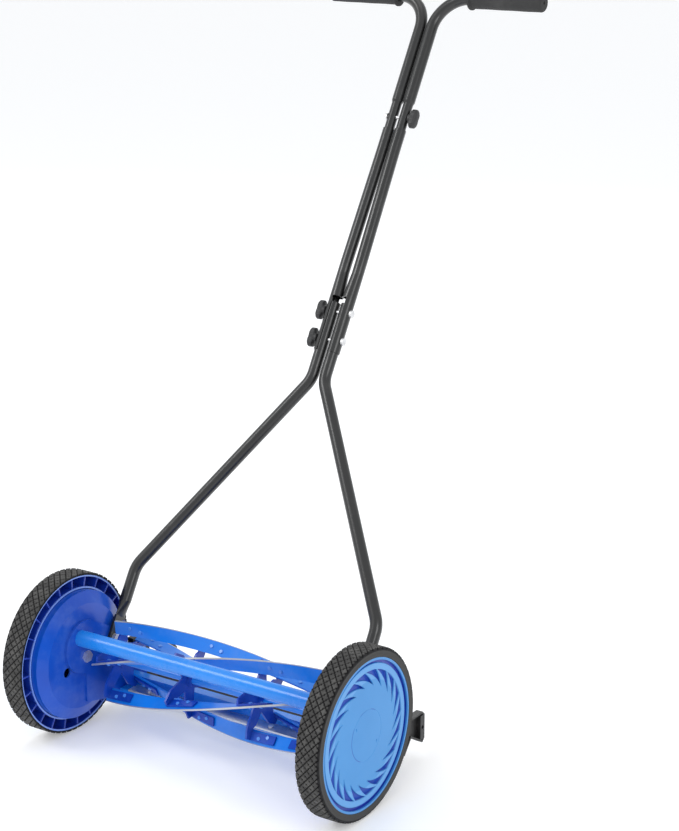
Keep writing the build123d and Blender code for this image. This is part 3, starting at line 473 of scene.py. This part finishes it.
def makeCover(side):
    # rows by radius and columns by angle, leaning with the louvres: height is a low dome, less a scored ring,
    # two slits and the louvres, where each mouth sinks in and the petal after it slopes down to the next
    low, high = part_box(f"hub_cover_{side}")
    edgeRadius = (high.z - low.z) / 2
    outward = 1 if side == "left" else -1
    top = high.x if side == "left" else -low.x
    back = min(abs(low.x), abs(high.x))
    outer = edgeRadius - cover["border"]
    inner = outer - cover["width"]
    rounded = edgeRadius - cover["edgeRound"]
    # each band's start, end and number of rows: close rows where the ring, the slits and the louvres are
    markStart, markEnd = cover["markZone"]
    bands = [(cover["middle"], markStart, 8), (markStart, markEnd, 40), (markEnd, inner, 12)]
    bands += [(inner, outer, 44), (outer, rounded, 12)]
    front = np.concatenate([np.linspace(a, b, n, endpoint=False) for a, b, n in bands])
    front = np.append(front, rounded)
    radius = front[:, None]
    pitch = 360 / cover["louvres"]
    step = np.linspace(0, 1, cover["columnsEach"], endpoint=False)
    fraction = np.tile(step, cover["louvres"])[None, :] * pitch
    inward = np.clip((outer - radius) / (outer - inner), 0, 1)
    degreesIn = fraction * np.ones_like(radius)
    louvre = np.repeat(np.arange(cover["louvres"]), len(step))[None, :]
    turn = louvre * math.radians(pitch) + np.radians(fraction)
    turn = turn + np.radians(cover["lean"]) * inward
    backEdge = cover["mouth"] * inward
    inside = smooth(backEdge - 0.3, backEdge + 0.3, degreesIn)
    inside = inside * (1 - smooth(cover["mouth"] - 0.25, cover["mouth"] + 0.25, degreesIn))
    banded = smooth(inner - 0.2 * mm, inner + 0.6 * mm, radius)
    banded = banded * (1 - smooth(outer - 0.5 * mm, outer, radius))
    slope = np.clip((degreesIn - backEdge) / np.maximum(cover["mouth"] - backEdge, 0.4), 0, 1)
    floor = -cover["depth"] * (0.6 + 0.4 * slope)
    petal = -cover["petalDrop"] * smooth(cover["mouth"] + 1.5, pitch + 1.0, degreesIn)
    fromRib = (degreesIn - cover["mouth"] - 0.9) / cover["ribWidth"]
    petal = petal + cover["ribRise"] * np.exp(-(fromRib ** 2))
    height = banded * (inside * floor + (1 - inside) * petal)
    height = height + cover["dome"] * (1 - np.clip(radius / inner, 0, 1) ** 1.3)
    fromMark = (radius - cover["mark"]) / cover["markWidth"]
    height = height - cover["markDepth"] * np.exp(-(fromMark ** 2))
    for angle in np.radians(cover["slitAngles"]):
        y = (radius * np.cos(turn) - cover["slitPlace"] * math.cos(angle)) / cover["slitSize"][0]
        z = (-radius * np.sin(turn) - cover["slitPlace"] * math.sin(angle)) / cover["slitSize"][1]
        height = height - cover["slitDepth"] * np.exp(-((y * y + z * z) ** 2))
    level = top - cover["dome"]
    frontX = level + height
    rim = [(edgeRadius, level - cover["edgeRound"]), (edgeRadius, back + 0.2 * mm)]
    rim += [(edgeRadius - 2 * mm, back), (cover["middle"], back)]
    rows = [(r, np.full(turn.shape[1], x)) for r, x in rim]
    allX = np.vstack([frontX] + [row[1][None, :] for row in rows])
    allR = np.vstack([radius * np.ones_like(turn)] + [np.full((1, turn.shape[1]), r) for r, _ in rows])
    backTurn = turn[-1:, :] * np.ones((len(rows), 1))
    allTurn = np.vstack([turn * np.ones_like(radius), backTurn])
    points = aroundX(outward * allX, allR, -allTurn, axle)
    gridObject(f"louvredCover_{side}", points, finish["cover"], f"wheel_{side}", [f"hub_cover_{side}"])


for side in sides:
    makeCover(side)
print("hub covers made")

grip = {
    "flangeWidth": 4.0 * mm, "flangeEdge": 0.9 * mm, "flangeRise": 2.5 * mm, "endRound": 4.5 * mm,
    "columns": 96, "spacing": 1.2 * mm, "tube": 9.6 * mm, "bore": 2.6 * mm, "softness": 0.12 * mm,
}


def makeGrip(side):
    # a profile swept around the bar, with a very slight three-sided waviness along the sleeve
    low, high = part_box(f"grip_{side}")
    centre = (low + high) / 2
    flange = (high.z - low.z) / 2
    radius = flange - grip["flangeRise"]
    length = high.x - low.x
    e, f, w = grip["flangeEdge"], grip["endRound"], grip["flangeWidth"]
    # x from the inner end and the radius: a rounded flange, the sleeve, a rounded end and its small bore
    corners = [(0, grip["tube"]), (0, flange - e), (e * 0.3, flange - e * 0.3), (e, flange), (w - e, flange)]
    corners += [(w - e * 0.3, flange - e * 0.3), (w, flange - e), (w + 0.4 * mm, radius)]
    corners += [(length - f + f * math.sin(a), radius - f + f * math.cos(a))
                for a in np.linspace(0, math.pi / 2, 7)]
    corners += [(length, grip["bore"] + 0.6 * mm), (length - 0.8 * mm, grip["bore"])]
    corners += [(length - 3 * mm, grip["bore"])]
    profile = alongProfile(corners, grip["spacing"])
    turn = np.arange(grip["columns"])[None, :] * 2 * math.pi / grip["columns"]
    x, r = profile[:, 0][:, None], profile[:, 1][:, None]
    soft = grip["softness"] * np.sin(x / (7 * mm)) * np.sin(3 * turn) * smooth(w, w + 8 * mm, x)
    start = low.x if side == "left" else high.x
    outward = 1 if side == "left" else -1
    points = aroundX(start + outward * x, r + soft - grip["softness"], turn, centre)
    gridObject(f"foamGrip_{side}", points, finish["foam"], "handle", [f"grip_{side}"])


for side in sides:
    makeGrip(side)
print("grips made")

knob = {
    "reach": 15.6 * mm, "waist": 7.6 * mm, "boss": 7.3 * mm, "proud": 1.25, "ridges": 20,
    "ridgeRise": 0.25 * mm, "growFrom": 0.16, "growTo": 0.40, "domeFrom": 0.72, "startRound": 0.04,
    "startWidth": 0.55, "endWidth": 0.02, "columns": 144, "rows": 40,
}
gripLow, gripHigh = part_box("grip_left")
toGrip = (gripLow + gripHigh) / 2 - pivot
lean = math.atan2(toGrip.z, toGrip.y)


def makeKnob(name):
    # outline: two round wings on a waist; the section grows from the round boss to the wings, then domes over
    low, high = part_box(name)
    centre = (low + high) / 2
    outward = 1 if centre.x > 0 else -1
    start = low.x if outward > 0 else high.x
    thick = (high.x - low.x) * knob["proud"]
    turn = np.arange(knob["columns"])[None, :] * 2 * math.pi / knob["columns"]
    t = np.linspace(0, 1, knob["rows"])[:, None]
    wing = knob["waist"] + (knob["reach"] - knob["waist"]) * np.abs(np.cos(turn)) ** 2.0
    wing = wing + knob["ridgeRise"] * np.cos(knob["ridges"] * turn) * np.abs(np.sin(turn)) ** 0.5
    grow = smooth(knob["growFrom"], knob["growTo"], t)
    outline = knob["boss"] * (1 - grow) + wing * grow
    overDome = np.clip((t - knob["domeFrom"]) / (1 - knob["domeFrom"]), 0, 1)
    dome = np.sqrt(np.clip(1 - overDome ** 2.4, 0, 1))
    shrink = np.clip(t / knob["startRound"], knob["startWidth"], 1) * np.maximum(dome, knob["endWidth"])
    points = aroundX(start + outward * thick * t, outline * shrink, turn + lean, centre)
    gridObject(name.replace("_knob", "WingKnob"), points, finish["knob"], name, [name])


for name in ("lower_knob", "middle_knob", "upper_knob"):
    makeKnob(name)
print("knobs made")

# each light has its name, place, size in metres and power in watts
studio = {
    "floor": 90.0, "floorColour": (0.84, 0.84, 0.845), "glow": 0.26, "world": 0.84,
    "worldColour": (0.96, 0.98, 1.0),
    "lights": [
        ("keyLight", (-2.6, -2.6, 3.4), 1.7, 62),
        ("fillLight", (3.4, -1.6, 2.2), 1.6, 30),
        ("topLight", (0.0, 0.4, 4.2), 2.0, 10),
        ("backLight", (-1.2, 3.4, 2.4), 1.6, 24),
    ],
    "aim": (0, 0, 0.3), "camera": (1.6653, -2.4420, 1.3552), "back": (0.5261, -0.8021, 0.2827),
    "lens": 86.73, "sensor": 36,
}


def floorMaterial():
    # pale and matt, with a little glow of its own so that it stays pale under the soft shadows
    def build(place):
        speck = place.noise(30, 4)
        return {
            "Base Color": speck.mix(studio["floorColour"], tuple(1.02 * c for c in studio["floorColour"])),
            "Roughness": 0.7 + speck * 0.1,
        }
    fixed = {"Specular IOR Level": 0.2, "Emission Color": (1, 1, 1, 1), "Emission Strength": studio["glow"]}
    return newMaterial("paleFloor", fixed, build)


half = studio["floor"] / 2
floorMesh = bpy.data.meshes.new("floor")
floorCorners = [(-half, -half, 0), (half, -half, 0), (half, half, 0), (-half, half, 0)]
floorMesh.from_pydata(floorCorners, [], [(0, 1, 2, 3)])
floorMesh.materials.append(floorMaterial())
floor = bpy.data.objects.new("floor", floorMesh)
bpy.context.scene.collection.objects.link(floor)

world = bpy.data.worlds.new("softStudio")
world.use_nodes = True
background = world.node_tree.nodes["Background"]
background.inputs["Color"].default_value = (*studio["worldColour"], 1)
background.inputs["Strength"].default_value = studio["world"]
bpy.context.scene.world = world
aim = Vector(studio["aim"])
for name, place, size, power in studio["lights"]:
    light = bpy.data.lights.new(name, "AREA")
    light.size, light.energy = size, power
    holder = bpy.data.objects.new(name, light)
    holder.location = place
    holder.rotation_euler = (aim - Vector(place)).to_track_quat("-Z", "Y").to_euler()
    bpy.context.scene.collection.objects.link(holder)

camera = bpy.data.cameras.new("camera")
camera.lens = studio["lens"]
camera.sensor_width = studio["sensor"]
cameraHolder = bpy.data.objects.new("camera", camera)
cameraHolder.location = studio["camera"]
cameraHolder.rotation_euler = (-Vector(studio["back"])).to_track_quat("-Z", "Y").to_euler()
bpy.context.scene.collection.objects.link(cameraHolder)
bpy.context.scene.camera = cameraHolder
print("stage made")
